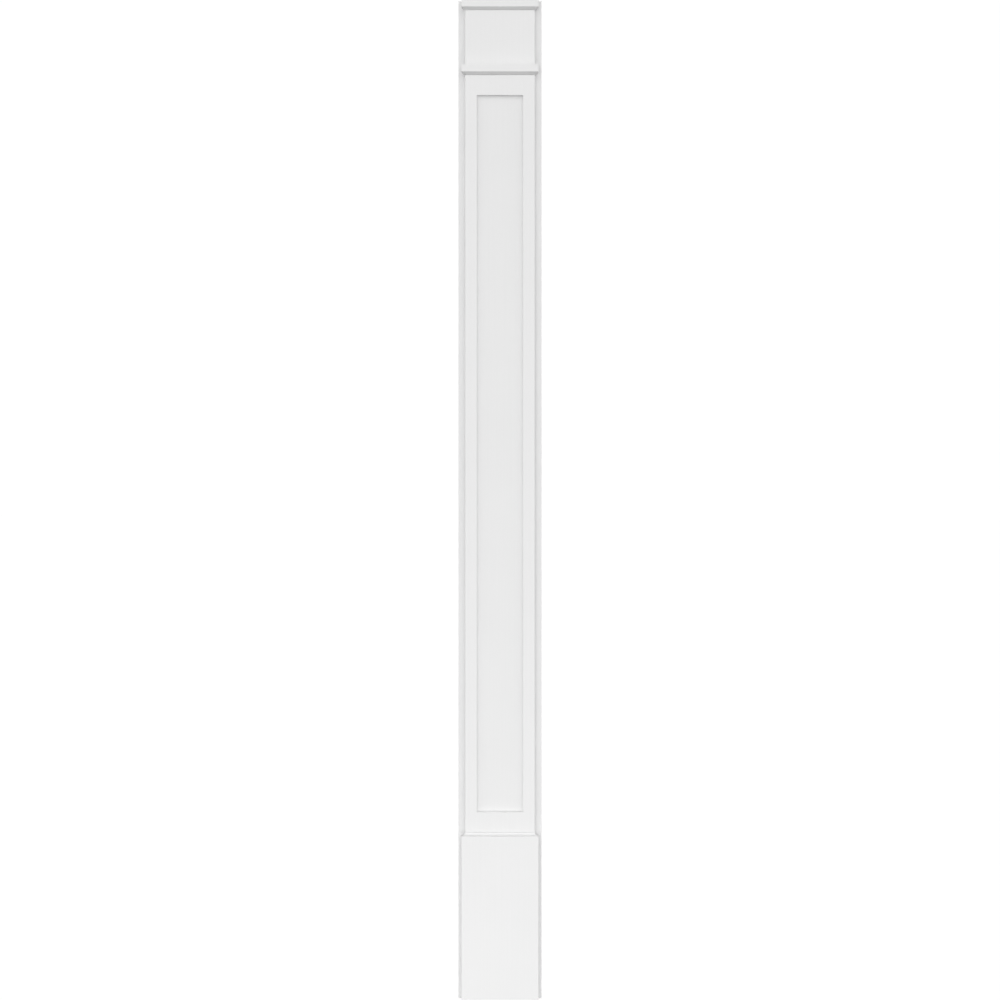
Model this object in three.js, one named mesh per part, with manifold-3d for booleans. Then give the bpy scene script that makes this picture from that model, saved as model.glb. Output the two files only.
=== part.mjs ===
// A flat-panel pilaster for a door or wall: a back board that carries a plinth, a shaft with a sunk panel,
// a neck moulding, a frieze and a cap moulding.
// Millimetres, +Z up, the front faces -Y. The origin is the middle of the back face, on the wall.

import * as THREE from 'three';
import { mergeVertices } from 'three/addons/utils/BufferGeometryUtils.js';
import Module from 'manifold-3d';

// Overall height and width
const HEIGHT = 2133.6;
const BACK_WIDTH = 177.8;

// Stock thickness of the back board, the shaft and the frieze: three quarters of an inch
const BOARD_THICKNESS = 19.05;

// How far the mouldings and the plinth stand proud of the shaft, on the front and at both sides
const MOULDING_PROUD = 8;

// The film of adhesive between bonded pieces
const GLUE_LINE = 0.3;

// Shaft, with one sunk panel framed by stiles and rails
const SHAFT_WIDTH = 148.3;
const STILE_WIDTH = 24.9;
const RAIL_HEIGHT = 43;
const PANEL_SINK = 8;

// Heights of the pieces above and below the shaft
const PLINTH_HEIGHT = 356.8;
const FRIEZE_HEIGHT = 116.9;
const FASCIA_HEIGHT = 15.2;
const BEVEL_HEIGHT = 6.5;

// Facets in the quarter circle of the plinth's cove
const COVE_FACETS = 8;

// Sizes worked out from those above
const MOULDING_HEIGHT = FASCIA_HEIGHT + BEVEL_HEIGHT;
const CAP_BASE = HEIGHT - MOULDING_HEIGHT;
const FRIEZE_BASE = CAP_BASE - FRIEZE_HEIGHT;
const NECK_BASE = FRIEZE_BASE - MOULDING_HEIGHT;
const SHAFT_BASE = PLINTH_HEIGHT;
const SHAFT_HEIGHT = NECK_BASE - SHAFT_BASE;

const QUARTER_TURN = Math.PI / 2;

const wasm = await Module();
wasm.setup();

// A closed three.js geometry as a solid that can be cut
function toSolid(geometry) {
  geometry.deleteAttribute('normal');
  geometry.deleteAttribute('uv');
  const merged = mergeVertices(geometry);
  const mesh = new wasm.Mesh({
    numProp: 3,
    vertProperties: new Float32Array(merged.attributes.position.array),
    triVerts: new Uint32Array(merged.index.array),
  });
  return new wasm.Manifold(mesh);
}

// A cut solid as a three.js geometry
function toGeometry(solid) {
  const { vertProperties, triVerts } = solid.getMesh();
  const geometry = new THREE.BufferGeometry();
  geometry.setAttribute('position', new THREE.BufferAttribute(vertProperties, 3));
  geometry.setIndex(new THREE.BufferAttribute(triVerts, 1));
  geometry.computeVertexNormals();
  return geometry;
}

// A board standing on z = 0 with its back on y = 0
function board(width, thickness, height) {
  const geometry = new THREE.BoxGeometry(width, thickness, height);
  return geometry.translate(0, -thickness / 2, height / 2);
}

// A block with one edge profile round its front and both sides, mitred at the corners.
// The profile runs from the foot to the top as points of (distance proud of the shaft, height).
// The block is what the front outline and the side outline, each pushed through, have in common.
function mitredBlock(profile) {
  const width = SHAFT_WIDTH + 2 * MOULDING_PROUD;
  const depth = BOARD_THICKNESS + MOULDING_PROUD;

  const rightEdge = profile.map(({ x, y }) => new THREE.Vector2(SHAFT_WIDTH / 2 + x, y));
  const leftEdge = profile.map(({ x, y }) => new THREE.Vector2(-SHAFT_WIDTH / 2 - x, y)).reverse();
  const frontOutline = new THREE.Shape([...rightEdge, ...leftEdge]);
  const pushedBack = new THREE.ExtrudeGeometry(frontOutline, { depth, bevelEnabled: false });
  pushedBack.rotateX(QUARTER_TURN);

  const foot = profile[0].y;
  const top = profile[profile.length - 1].y;
  const backEdge = [new THREE.Vector2(0, foot), new THREE.Vector2(0, top)];
  const frontEdge = profile.map(({ x, y }) => new THREE.Vector2(-BOARD_THICKNESS - x, y)).reverse();
  const sideOutline = new THREE.Shape([...backEdge, ...frontEdge]);
  const pushedAcross = new THREE.ExtrudeGeometry(sideOutline, { depth: width, bevelEnabled: false });
  pushedAcross.rotateX(QUARTER_TURN).rotateZ(QUARTER_TURN).translate(-width / 2, 0, 0);

  return toGeometry(toSolid(pushedBack).intersect(toSolid(pushedAcross)));
}

// Flat fascia over a bevel that dies into the face below it
function mouldingProfile() {
  const path = new THREE.Path();
  path.moveTo(0, GLUE_LINE);
  path.lineTo(MOULDING_PROUD, BEVEL_HEIGHT);
  path.lineTo(MOULDING_PROUD, MOULDING_HEIGHT);
  return path.getPoints();
}

// Plain face under a hollow quarter round that runs up into the shaft
function plinthProfile() {
  const path = new THREE.Path();
  path.moveTo(MOULDING_PROUD, 0);
  path.lineTo(MOULDING_PROUD, PLINTH_HEIGHT - MOULDING_PROUD);
  path.absarc(MOULDING_PROUD, PLINTH_HEIGHT, MOULDING_PROUD, -QUARTER_TURN, -2 * QUARTER_TURN, true);
  return path.getPoints(COVE_FACETS);
}

// Board with the sunk panel cut into its face
function panelledShaft() {
  const height = SHAFT_HEIGHT - GLUE_LINE;
  const blank = board(SHAFT_WIDTH, BOARD_THICKNESS, height);
  const panelWidth = SHAFT_WIDTH - 2 * STILE_WIDTH;
  const panelHeight = SHAFT_HEIGHT - 2 * RAIL_HEIGHT;
  const cutter = board(panelWidth, BOARD_THICKNESS, panelHeight);
  cutter.translate(0, PANEL_SINK - BOARD_THICKNESS, RAIL_HEIGHT - GLUE_LINE);
  return toGeometry(toSolid(blank).subtract(toSolid(cutter)));
}

// Plain block that stands on the neck moulding
function friezeBlock() {
  return board(SHAFT_WIDTH, BOARD_THICKNESS, FRIEZE_HEIGHT - GLUE_LINE);
}

function whitePvc() {
  return new THREE.MeshStandardMaterial({ color: 0xefefee, roughness: 0.55, metalness: 0 });
}

function piece(name, geometry, base) {
  const mesh = new THREE.Mesh(geometry, whitePvc());
  mesh.name = name;
  mesh.position.z = base;
  return mesh;
}

const pilaster = new THREE.Group();
pilaster.position.z = -HEIGHT / 2;
pilaster.add(piece('back_board', board(BACK_WIDTH, BOARD_THICKNESS, HEIGHT), 0));

const facing = new THREE.Group();
facing.position.y = -BOARD_THICKNESS - GLUE_LINE;
pilaster.add(facing);

facing.add(piece('plinth', mitredBlock(plinthProfile()), 0));
facing.add(piece('shaft', panelledShaft(), SHAFT_BASE + GLUE_LINE));
facing.add(piece('neck_moulding', mitredBlock(mouldingProfile()), NECK_BASE));
facing.add(piece('frieze', friezeBlock(), FRIEZE_BASE + GLUE_LINE));
facing.add(piece('cap_moulding', mitredBlock(mouldingProfile()), CAP_BASE));

export default pilaster;
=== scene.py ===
import math

import bmesh
import bpy
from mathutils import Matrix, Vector


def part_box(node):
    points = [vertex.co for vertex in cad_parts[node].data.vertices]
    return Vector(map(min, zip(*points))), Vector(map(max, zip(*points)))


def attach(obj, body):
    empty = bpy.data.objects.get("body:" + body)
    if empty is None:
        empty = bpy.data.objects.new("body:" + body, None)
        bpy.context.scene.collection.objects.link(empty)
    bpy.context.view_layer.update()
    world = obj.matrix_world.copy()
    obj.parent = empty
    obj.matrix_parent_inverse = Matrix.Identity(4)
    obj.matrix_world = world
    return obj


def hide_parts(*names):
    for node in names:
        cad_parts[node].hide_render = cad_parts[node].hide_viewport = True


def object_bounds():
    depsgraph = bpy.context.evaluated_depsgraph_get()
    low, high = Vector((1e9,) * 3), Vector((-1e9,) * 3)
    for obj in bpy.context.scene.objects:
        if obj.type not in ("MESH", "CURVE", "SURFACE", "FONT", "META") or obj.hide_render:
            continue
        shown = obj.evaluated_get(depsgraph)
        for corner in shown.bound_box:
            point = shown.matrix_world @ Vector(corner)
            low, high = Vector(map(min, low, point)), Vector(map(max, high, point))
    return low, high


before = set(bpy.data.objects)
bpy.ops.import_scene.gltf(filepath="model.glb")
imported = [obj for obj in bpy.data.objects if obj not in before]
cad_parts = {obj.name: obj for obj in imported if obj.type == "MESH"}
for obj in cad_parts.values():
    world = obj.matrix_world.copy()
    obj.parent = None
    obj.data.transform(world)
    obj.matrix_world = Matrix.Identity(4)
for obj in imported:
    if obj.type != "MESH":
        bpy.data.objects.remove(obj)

# Flat-panel pilaster in white cellular PVC. Metres, +Z up, the front faces -Y, the back lies on y = 0.

CAD_LOW, CAD_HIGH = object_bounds()
MM = 0.001
Y_AXIS = 1
Z_AXIS = 2
QUARTER_TURN = math.radians(90)

# Where the photograph, 1000 pixels square, shows the top and foot of the back board's face
PHOTO_PIXELS = 1000
BOARD_TOP_PIXEL = 1.07
BOARD_FOOT_PIXEL = 998.2

# Camera: distance from the back board's face in metres, and width of the sensor in millimetres
CAMERA_DISTANCE = 7.5
SENSOR_WIDTH = 36.0

# Radii of the eased arrises
BOARD_ARRIS = 0.6 * MM
MOULDING_ARRIS = 0.3 * MM
SHAFT_ARRIS = 0.25 * MM

# Mesh: fineness of the curves, roundness of an arris, and weight of large faces in the shading
ARRIS_SEGMENTS = 3
ARRIS_ROUNDNESS = 0.5
COVE_SEGMENTS = 24
LARGE_FACE_WEIGHT = 100

# Angles that tell an arris from a curve, the cove from the plain faces, and one face from another
ARRIS_ANGLE = math.radians(35)
COVE_SLOPE = math.radians(1)
CREASE_ANGLE = math.radians(40)
FACING = math.cos(math.radians(20))

# Reading the CAD nodes: digits that tell heights apart, and what counts as clear of the shaft's outline
HEIGHT_DIGITS = 6
MARGIN = 1 * MM

# Finishes: reflectance and roughness of the skin, of cut faces and of the back
PVC_IOR = 1.53
FACE_SHADE = 0.765
FACE_ROUGHNESS = 0.5
CUT_SHADE = 0.745
CUT_ROUGHNESS = 0.62
BACK_SHADE = 0.73
BACK_ROUGHNESS = 0.6

# Skin: the usual range of a noise, how many marks to the metre, how finely each is broken up,
# and how much they change shade, gloss and level
TEXTURE_LOW = 0.3
TEXTURE_HIGH = 0.7
STREAKS_ACROSS = 300.0
STREAKS_ALONG = 3.0
STREAK_DETAIL = 3
STREAK_SHADE = 0.008
STREAK_DEPTH = 0.02 * MM
CLOUDS = 9.0
CLOUD_DETAIL = 2
CLOUD_SHADE = 0.006
GLOSS_CHANGE = 0.05
STIPPLE = 900.0
STIPPLE_DETAIL = 2
STIPPLE_DEPTH = 0.04 * MM

# Cut faces: size of the foam's cells, spacing of the saw's and the router's marks, and their depths.
# A wave texture of scale 1 repeats every WAVE_PERIOD.
CELL_SIZE = 0.6 * MM
CELL_DEPTH = 0.08 * MM
WAVE_PERIOD = math.pi / 10
SAW_WAVER = 0.6
SAW_DETAIL = 1
SAW_SPACING = 1.5 * MM
SAW_DEPTH = 0.04 * MM
ROUTER_PASS = 18 * MM
ROUTER_DEPTH = 0.05 * MM

# Studio dome: share of its full brightness at each sine of the elevation
DOME_BRIGHTNESS = 1.69
DOME_STEPS = (
    (-0.75, 0.0), (-0.65, 0.12), (-0.34, 0.34), (-0.18, 0.56), (-0.1, 0.6), (0.16, 0.6),
    (0.24, 0.86), (0.44, 1.0), (0.57, 0.89), (0.75, 0.46), (0.9, 0.0),
)

# Lights: place, target, width and height in metres, and power in watts
STRIP_TURN = math.radians(11)
STRIP_DISTANCE = 5.0
STRIP_PLACE = (-math.sin(STRIP_TURN) * STRIP_DISTANCE, -math.cos(STRIP_TURN) * STRIP_DISTANCE, 0.0)
LEFT_STRIP = (STRIP_PLACE, (0.0, 0.0, 0.0), 0.25, 3.0, 15.0)
HEAD_LIGHT = ((0.0, -1.5, 1.0), (0.0, 0.0, 1.0), 1.5, 0.3, 1.3)
FOOT_LIGHT = ((0.0, -2.5, -1.6), (0.0, 0.0, -0.9), 2.0, 0.4, 14.2)

# Floor
FLOOR_SIZE = 400.0
FLOOR_SHADE = 0.15
FLOOR_ROUGHNESS = 0.9
FLOOR_GLOW = 0.9


# Shapes

def rectangle(low, high, flat_axis, level):
    """Four corners of a rectangle across flat_axis at level, in turning order."""
    first, second = [axis for axis in range(3) if axis != flat_axis]
    corners = []
    for a, b in ((low, low), (high, low), (high, high), (low, high)):
        corner = [0.0, 0.0, 0.0]
        corner[first] = a[first]
        corner[second] = b[second]
        corner[flat_axis] = level
        corners.append(corner)
    return corners


def loft(rings):
    """A closed mesh that joins rings of corners, one after another, with both ends filled."""
    shape = bmesh.new()
    made = [[shape.verts.new(corner) for corner in ring] for ring in rings]
    for ring, following in zip(made, made[1:]):
        for side in range(len(ring)):
            after = (side + 1) % len(ring)
            shape.faces.new((ring[side], ring[after], following[after], following[side]))
    shape.faces.new(made[0])
    shape.faces.new(made[-1])
    bmesh.ops.recalc_face_normals(shape, faces=shape.faces)
    return shape


def ease_arrises(shape, radius):
    """Rounds every sharp outward edge a little, as a cutter and sandpaper leave it."""
    sharp = [
        edge for edge in shape.edges
        if edge.is_convex and edge.calc_face_angle() > ARRIS_ANGLE
    ]
    bmesh.ops.bevel(
        shape, geom=sharp, offset=radius, offset_type="OFFSET", segments=ARRIS_SEGMENTS,
        profile=ARRIS_ROUNDNESS, affect="EDGES", clamp_overlap=True,
    )


def piece(node, shape, materials, finish_of):
    """Makes the mesh an object that stands for its CAD node; finish_of names each face's finish."""
    mesh = bpy.data.meshes.new(node + "_face")
    names = list(materials)
    low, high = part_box(node)
    for face in shape.faces:
        face.smooth = True
        face.material_index = names.index(finish_of(face, low, high))
    for edge in shape.edges:
        edge.smooth = edge.calc_face_angle() < CREASE_ANGLE
    shape.to_mesh(mesh)
    shape.free()
    for material in materials.values():
        mesh.materials.append(material)
    made = bpy.data.objects.new(node + "_face", mesh)
    bpy.context.scene.collection.objects.link(made)
    normals = made.modifiers.new("flat faces stay flat", "WEIGHTED_NORMAL")
    normals.weight = LARGE_FACE_WEIGHT
    normals.keep_sharp = True
    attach(made, "root")
    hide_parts(node)


def cad_corners(node):
    return [vertex.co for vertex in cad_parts[node].data.vertices]


def levels(node):
    """(height, half width, front) of a moulded CAD node at each height where it has corners."""
    found = {}
    for corner in cad_corners(node):
        height = round(corner.z, HEIGHT_DIGITS)
        half_width, front = found.get(height, (0.0, 0.0))
        found[height] = (max(half_width, corner.x), min(front, corner.y))
    return [(height, *found[height]) for height in sorted(found)]


def board_shape(node):
    low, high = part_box(node)
    return loft([rectangle(low, high, Y_AXIS, high.y), rectangle(low, high, Y_AXIS, low.y)])


def block_ring(half_width, front, back, height):
    """Four corners of a level rectangle, as wide to the left as to the right."""
    low = Vector((-half_width, front, height))
    high = Vector((half_width, back, height))
    return rectangle(low, high, Z_AXIS, height)


def moulding_shape(node):
    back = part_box(node)[1].y
    return loft([block_ring(half, front, back, height) for height, half, front in levels(node)])


def plinth_shape(node):
    """The plinth with its cove drawn as a true quarter circle between the CAD node's own corners."""
    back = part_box(node)[1].y
    corners = levels(node)
    foot, foot_half, foot_front = corners[0]
    arris, arris_half, arris_front = corners[1]
    top, top_half, top_front = corners[-1]
    rings = [block_ring(foot_half, foot_front, back, foot)]
    for step in range(COVE_SEGMENTS + 1):
        turn = QUARTER_TURN * step / COVE_SEGMENTS
        inward = math.sin(turn)
        upward = 1 - math.cos(turn)
        half = arris_half + (top_half - arris_half) * inward
        front = arris_front + (top_front - arris_front) * inward
        height = arris + (top - arris) * upward
        rings.append(block_ring(half, front, back, height))
    return loft(rings)


def shaft_shape(node):
    """The shaft's board with its sunk panel, read from the CAD node's corners inside its outline."""
    low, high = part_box(node)
    inside = [corner for corner in cad_corners(node) if abs(corner.x) < high.x - MARGIN]
    panel_low = Vector(map(min, *inside))
    panel_high = Vector(map(max, *inside))
    return loft([
        rectangle(low, high, Y_AXIS, high.y),
        rectangle(low, high, Y_AXIS, low.y),
        rectangle(panel_low, panel_high, Y_AXIS, low.y),
        rectangle(panel_low, panel_high, Y_AXIS, panel_high.y),
    ])


# Materials

def new_material(name):
    material = bpy.data.materials.new(name)
    material.use_nodes = True
    return material, material.node_tree.nodes, material.node_tree.links


def texture_space(nodes, links, stretch):
    """Coordinates on the piece, in metres, multiplied along each axis by stretch."""
    place = nodes.new("ShaderNodeTexCoord")
    scaled = nodes.new("ShaderNodeMapping")
    scaled.inputs["Scale"].default_value = stretch
    links.new(place.outputs["Object"], scaled.inputs["Vector"])
    return scaled.outputs["Vector"]


def noise(nodes, links, stretch, detail):
    made = nodes.new("ShaderNodeTexNoise")
    made.inputs["Scale"].default_value = 1
    made.inputs["Detail"].default_value = detail
    links.new(texture_space(nodes, links, stretch), made.inputs["Vector"])
    return made.outputs["Fac"]


def saw_marks(nodes, links, direction, spacing):
    """Slightly wavering lines a given spacing apart, counted along one axis."""
    made = nodes.new("ShaderNodeTexWave")
    made.bands_direction = direction
    made.inputs["Scale"].default_value = WAVE_PERIOD / spacing
    made.inputs["Distortion"].default_value = SAW_WAVER
    made.inputs["Detail"].default_value = SAW_DETAIL
    links.new(texture_space(nodes, links, (1, 1, 1)), made.inputs["Vector"])
    return made.outputs["Fac"]


def foam_cells(nodes, links):
    """The burst cells of the foam where a blade has cut through it."""
    made = nodes.new("ShaderNodeTexVoronoi")
    made.inputs["Scale"].default_value = 1 / CELL_SIZE
    links.new(texture_space(nodes, links, (1, 1, 1)), made.inputs["Vector"])
    return made.outputs["Distance"]


def remap(nodes, links, value, low, high):
    """Spreads the usual range of a texture over low to high."""
    made = nodes.new("ShaderNodeMapRange")
    made.inputs["From Min"].default_value = TEXTURE_LOW
    made.inputs["From Max"].default_value = TEXTURE_HIGH
    made.inputs["To Min"].default_value = low
    made.inputs["To Max"].default_value = high
    links.new(value, made.inputs["Value"])
    return made.outputs["Result"]


def product(nodes, links, first, second):
    made = nodes.new("ShaderNodeMath")
    made.operation = "MULTIPLY"
    links.new(first, made.inputs[0])
    links.new(second, made.inputs[1])
    return made.outputs["Value"]


def raise_bump(nodes, links, height, depth, below):
    """A bump of the given depth in metres, over the bump below it if there is one."""
    made = nodes.new("ShaderNodeBump")
    made.inputs["Strength"].default_value = 1
    made.inputs["Distance"].default_value = depth
    links.new(height, made.inputs["Height"])
    if below:
        links.new(below, made.inputs["Normal"])
    return made.outputs["Normal"]


def pvc(name, shade, roughness, run, relief):
    """White cellular PVC with faint streaks along run; relief adds (texture, depth) bumps of its own."""
    material, nodes, links = new_material(name)
    shader = nodes["Principled BSDF"]
    shader.inputs["IOR"].default_value = PVC_IOR
    stretch = [STREAKS_ACROSS] * 3
    stretch["XYZ".index(run)] = STREAKS_ALONG
    streaks = noise(nodes, links, stretch, STREAK_DETAIL)
    clouds = noise(nodes, links, [CLOUDS] * 3, CLOUD_DETAIL)
    stipple = noise(nodes, links, [STIPPLE] * 3, STIPPLE_DETAIL)
    streaked = remap(nodes, links, streaks, shade * (1 - STREAK_SHADE), shade * (1 + STREAK_SHADE))
    clouded = remap(nodes, links, clouds, 1 - CLOUD_SHADE, 1 + CLOUD_SHADE)
    links.new(product(nodes, links, streaked, clouded), shader.inputs["Base Color"])
    dull = remap(nodes, links, streaks, roughness - GLOSS_CHANGE, roughness + GLOSS_CHANGE)
    links.new(dull, shader.inputs["Roughness"])
    normal = raise_bump(nodes, links, streaks, STREAK_DEPTH, None)
    normal = raise_bump(nodes, links, stipple, STIPPLE_DEPTH, normal)
    for texture, depth in relief(nodes, links):
        normal = raise_bump(nodes, links, texture, depth, normal)
    links.new(normal, shader.inputs["Normal"])
    return material


def no_relief(nodes, links):
    return []


def sawn_relief(direction):
    """Blade marks across a sawn face, and the foam's open cells over them."""
    def relief(nodes, links):
        marks = saw_marks(nodes, links, direction, SAW_SPACING)
        return [(marks, SAW_DEPTH), (foam_cells(nodes, links), CELL_DEPTH)]
    return relief


def routed_relief(nodes, links):
    """Overlapping passes of a wide cutter, side by side along the panel."""
    return [(saw_marks(nodes, links, "X", ROUTER_PASS), ROUTER_DEPTH)]


def finishes():
    """The surfaces that the pieces show, by name."""
    return {
        "face": pvc("pvc_face", FACE_SHADE, FACE_ROUGHNESS, "Z", no_relief),
        "moulding": pvc("pvc_moulding", FACE_SHADE, FACE_ROUGHNESS, "X", no_relief),
        "return": pvc("pvc_return", FACE_SHADE, FACE_ROUGHNESS, "Y", no_relief),
        "panel": pvc("pvc_routed_panel", FACE_SHADE, CUT_ROUGHNESS, "Z", routed_relief),
        "edge": pvc("pvc_cut_edge", CUT_SHADE, CUT_ROUGHNESS, "Z", sawn_relief("Z")),
        "end": pvc("pvc_sawn_end", CUT_SHADE, CUT_ROUGHNESS, "X", sawn_relief("X")),
        "back": pvc("pvc_back", BACK_SHADE, BACK_ROUGHNESS, "Z", no_relief),
    }


# Which finish each face of a piece has; low and high are the corners of its CAD node's box

def board_finish(face, low, high):
    if face.normal.y > FACING:
        return "back"
    if abs(face.normal.z) > FACING:
        return "end"
    if abs(face.normal.x) > FACING:
        return "edge"
    return "face"


def shaft_finish(face, low, high):
    """A board with a routed recess: its floor shows the cutter's passes, and its reveals are smooth."""
    middle = face.calc_center_median()
    sunk = middle.y > low.y + MARGIN
    off_edges = abs(middle.x) < high.x - MARGIN
    off_ends = low.z + MARGIN < middle.z < high.z - MARGIN
    if not (sunk and off_edges and off_ends) or face.normal.y > FACING:
        return board_finish(face, low, high)
    if face.normal.y < -FACING:
        return "panel"
    if abs(face.normal.z) > FACING:
        return "moulding"
    return "face"


def moulding_finish(face, low, high):
    if face.normal.y > FACING:
        return "back"
    if abs(face.normal.x) > abs(face.normal.y):
        return "return"
    return "moulding"


def plinth_finish(face, low, high):
    """A board up to the cove, which is run round it like a moulding."""
    if face.normal.z > math.sin(COVE_SLOPE):
        return moulding_finish(face, low, high)
    return board_finish(face, low, high)


# Stage

def studio_world():
    """A dome of soft light, brightest some 26 degrees up, and dark overhead and underfoot."""
    world = bpy.data.worlds.new("studio")
    bpy.context.scene.world = world
    world.use_nodes = True
    nodes, links = world.node_tree.nodes, world.node_tree.links
    direction = nodes.new("ShaderNodeTexCoord")
    split = nodes.new("ShaderNodeSeparateXYZ")
    height = nodes.new("ShaderNodeMapRange")
    height.inputs["From Min"].default_value = -1
    steps = nodes.new("ShaderNodeValToRGB")
    ramp = steps.color_ramp.elements
    while len(ramp) < len(DOME_STEPS):
        ramp.new(0.5)
    for stop, (sine, share) in zip(ramp, DOME_STEPS):
        stop.position = (sine + 1) / 2
        stop.color = (share, share, share, 1)
    links.new(direction.outputs["Generated"], split.inputs["Vector"])
    links.new(split.outputs["Z"], height.inputs["Value"])
    links.new(height.outputs["Result"], steps.inputs["Fac"])
    links.new(steps.outputs["Color"], nodes["Background"].inputs["Color"])
    nodes["Background"].inputs["Strength"].default_value = DOME_BRIGHTNESS


def floor():
    """A white floor for the camera alone: it neither lights the pilaster nor shades it."""
    half = FLOOR_SIZE / 2
    drop = CAD_LOW.z
    mesh = bpy.data.meshes.new("floor")
    corners = [(-half, -half, drop), (half, -half, drop), (half, half, drop), (-half, half, drop)]
    mesh.from_pydata(corners, [], [(0, 1, 2, 3)])
    material, nodes, _ = new_material("pale_floor")
    shader = nodes["Principled BSDF"]
    shader.inputs["Base Color"].default_value = (FLOOR_SHADE, FLOOR_SHADE, FLOOR_SHADE, 1)
    shader.inputs["Roughness"].default_value = FLOOR_ROUGHNESS
    shader.inputs["Specular IOR Level"].default_value = 0
    shader.inputs["Emission Color"].default_value = (1, 1, 1, 1)
    shader.inputs["Emission Strength"].default_value = FLOOR_GLOW
    mesh.materials.append(material)
    made = bpy.data.objects.new("floor", mesh)
    made.visible_diffuse = False
    made.visible_glossy = False
    made.visible_shadow = False
    bpy.context.scene.collection.objects.link(made)


def softbox(name, place, target, width, height, watts):
    light = bpy.data.lights.new(name, "AREA")
    light.shape = "RECTANGLE"
    light.size = width
    light.size_y = height
    light.energy = watts
    made = bpy.data.objects.new(name, light)
    made.location = place
    aim = Vector(target) - Vector(place)
    made.rotation_euler = aim.to_track_quat("-Z", "Y").to_euler()
    made.visible_camera = False
    bpy.context.scene.collection.objects.link(made)


def lights():
    """A tall strip to the left, a weak light before the head, and one from below, as off a floor."""
    softbox("left_strip", *LEFT_STRIP)
    softbox("head_light", *HEAD_LIGHT)
    softbox("foot_light", *FOOT_LIGHT)


def camera():
    """Level, as far off as the photograph's perspective puts it, with the board in the same pixels."""
    low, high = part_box("back_board")
    shown = (BOARD_FOOT_PIXEL - BOARD_TOP_PIXEL) / PHOTO_PIXELS
    frame_height = (high.z - low.z) / shown
    data = bpy.data.cameras.new("camera")
    data.sensor_width = SENSOR_WIDTH
    data.lens = SENSOR_WIDTH * CAMERA_DISTANCE / frame_height
    made = bpy.data.objects.new("camera", data)
    middle_pixel = (BOARD_FOOT_PIXEL + BOARD_TOP_PIXEL) / 2
    below = (PHOTO_PIXELS / 2 - middle_pixel) * frame_height / PHOTO_PIXELS
    made.location = (0, low.y - CAMERA_DISTANCE, (low.z + high.z) / 2 - below)
    made.rotation_euler = (QUARTER_TURN, 0, 0)
    bpy.context.scene.collection.objects.link(made)
    bpy.context.scene.camera = made


def build_pieces():
    makers = {
        "back_board": (board_shape, BOARD_ARRIS, board_finish),
        "plinth": (plinth_shape, MOULDING_ARRIS, plinth_finish),
        "shaft": (shaft_shape, SHAFT_ARRIS, shaft_finish),
        "neck_moulding": (moulding_shape, MOULDING_ARRIS, moulding_finish),
        "frieze": (board_shape, MOULDING_ARRIS, board_finish),
        "cap_moulding": (moulding_shape, MOULDING_ARRIS, moulding_finish),
    }
    materials = finishes()
    for node, (make, arris, finish_of) in makers.items():
        shape = make(node)
        ease_arrises(shape, arris)
        piece(node, shape, materials, finish_of)


build_pieces()
studio_world()
floor()
lights()
camera()
bpy.context.scene.view_settings.view_transform = "Standard"
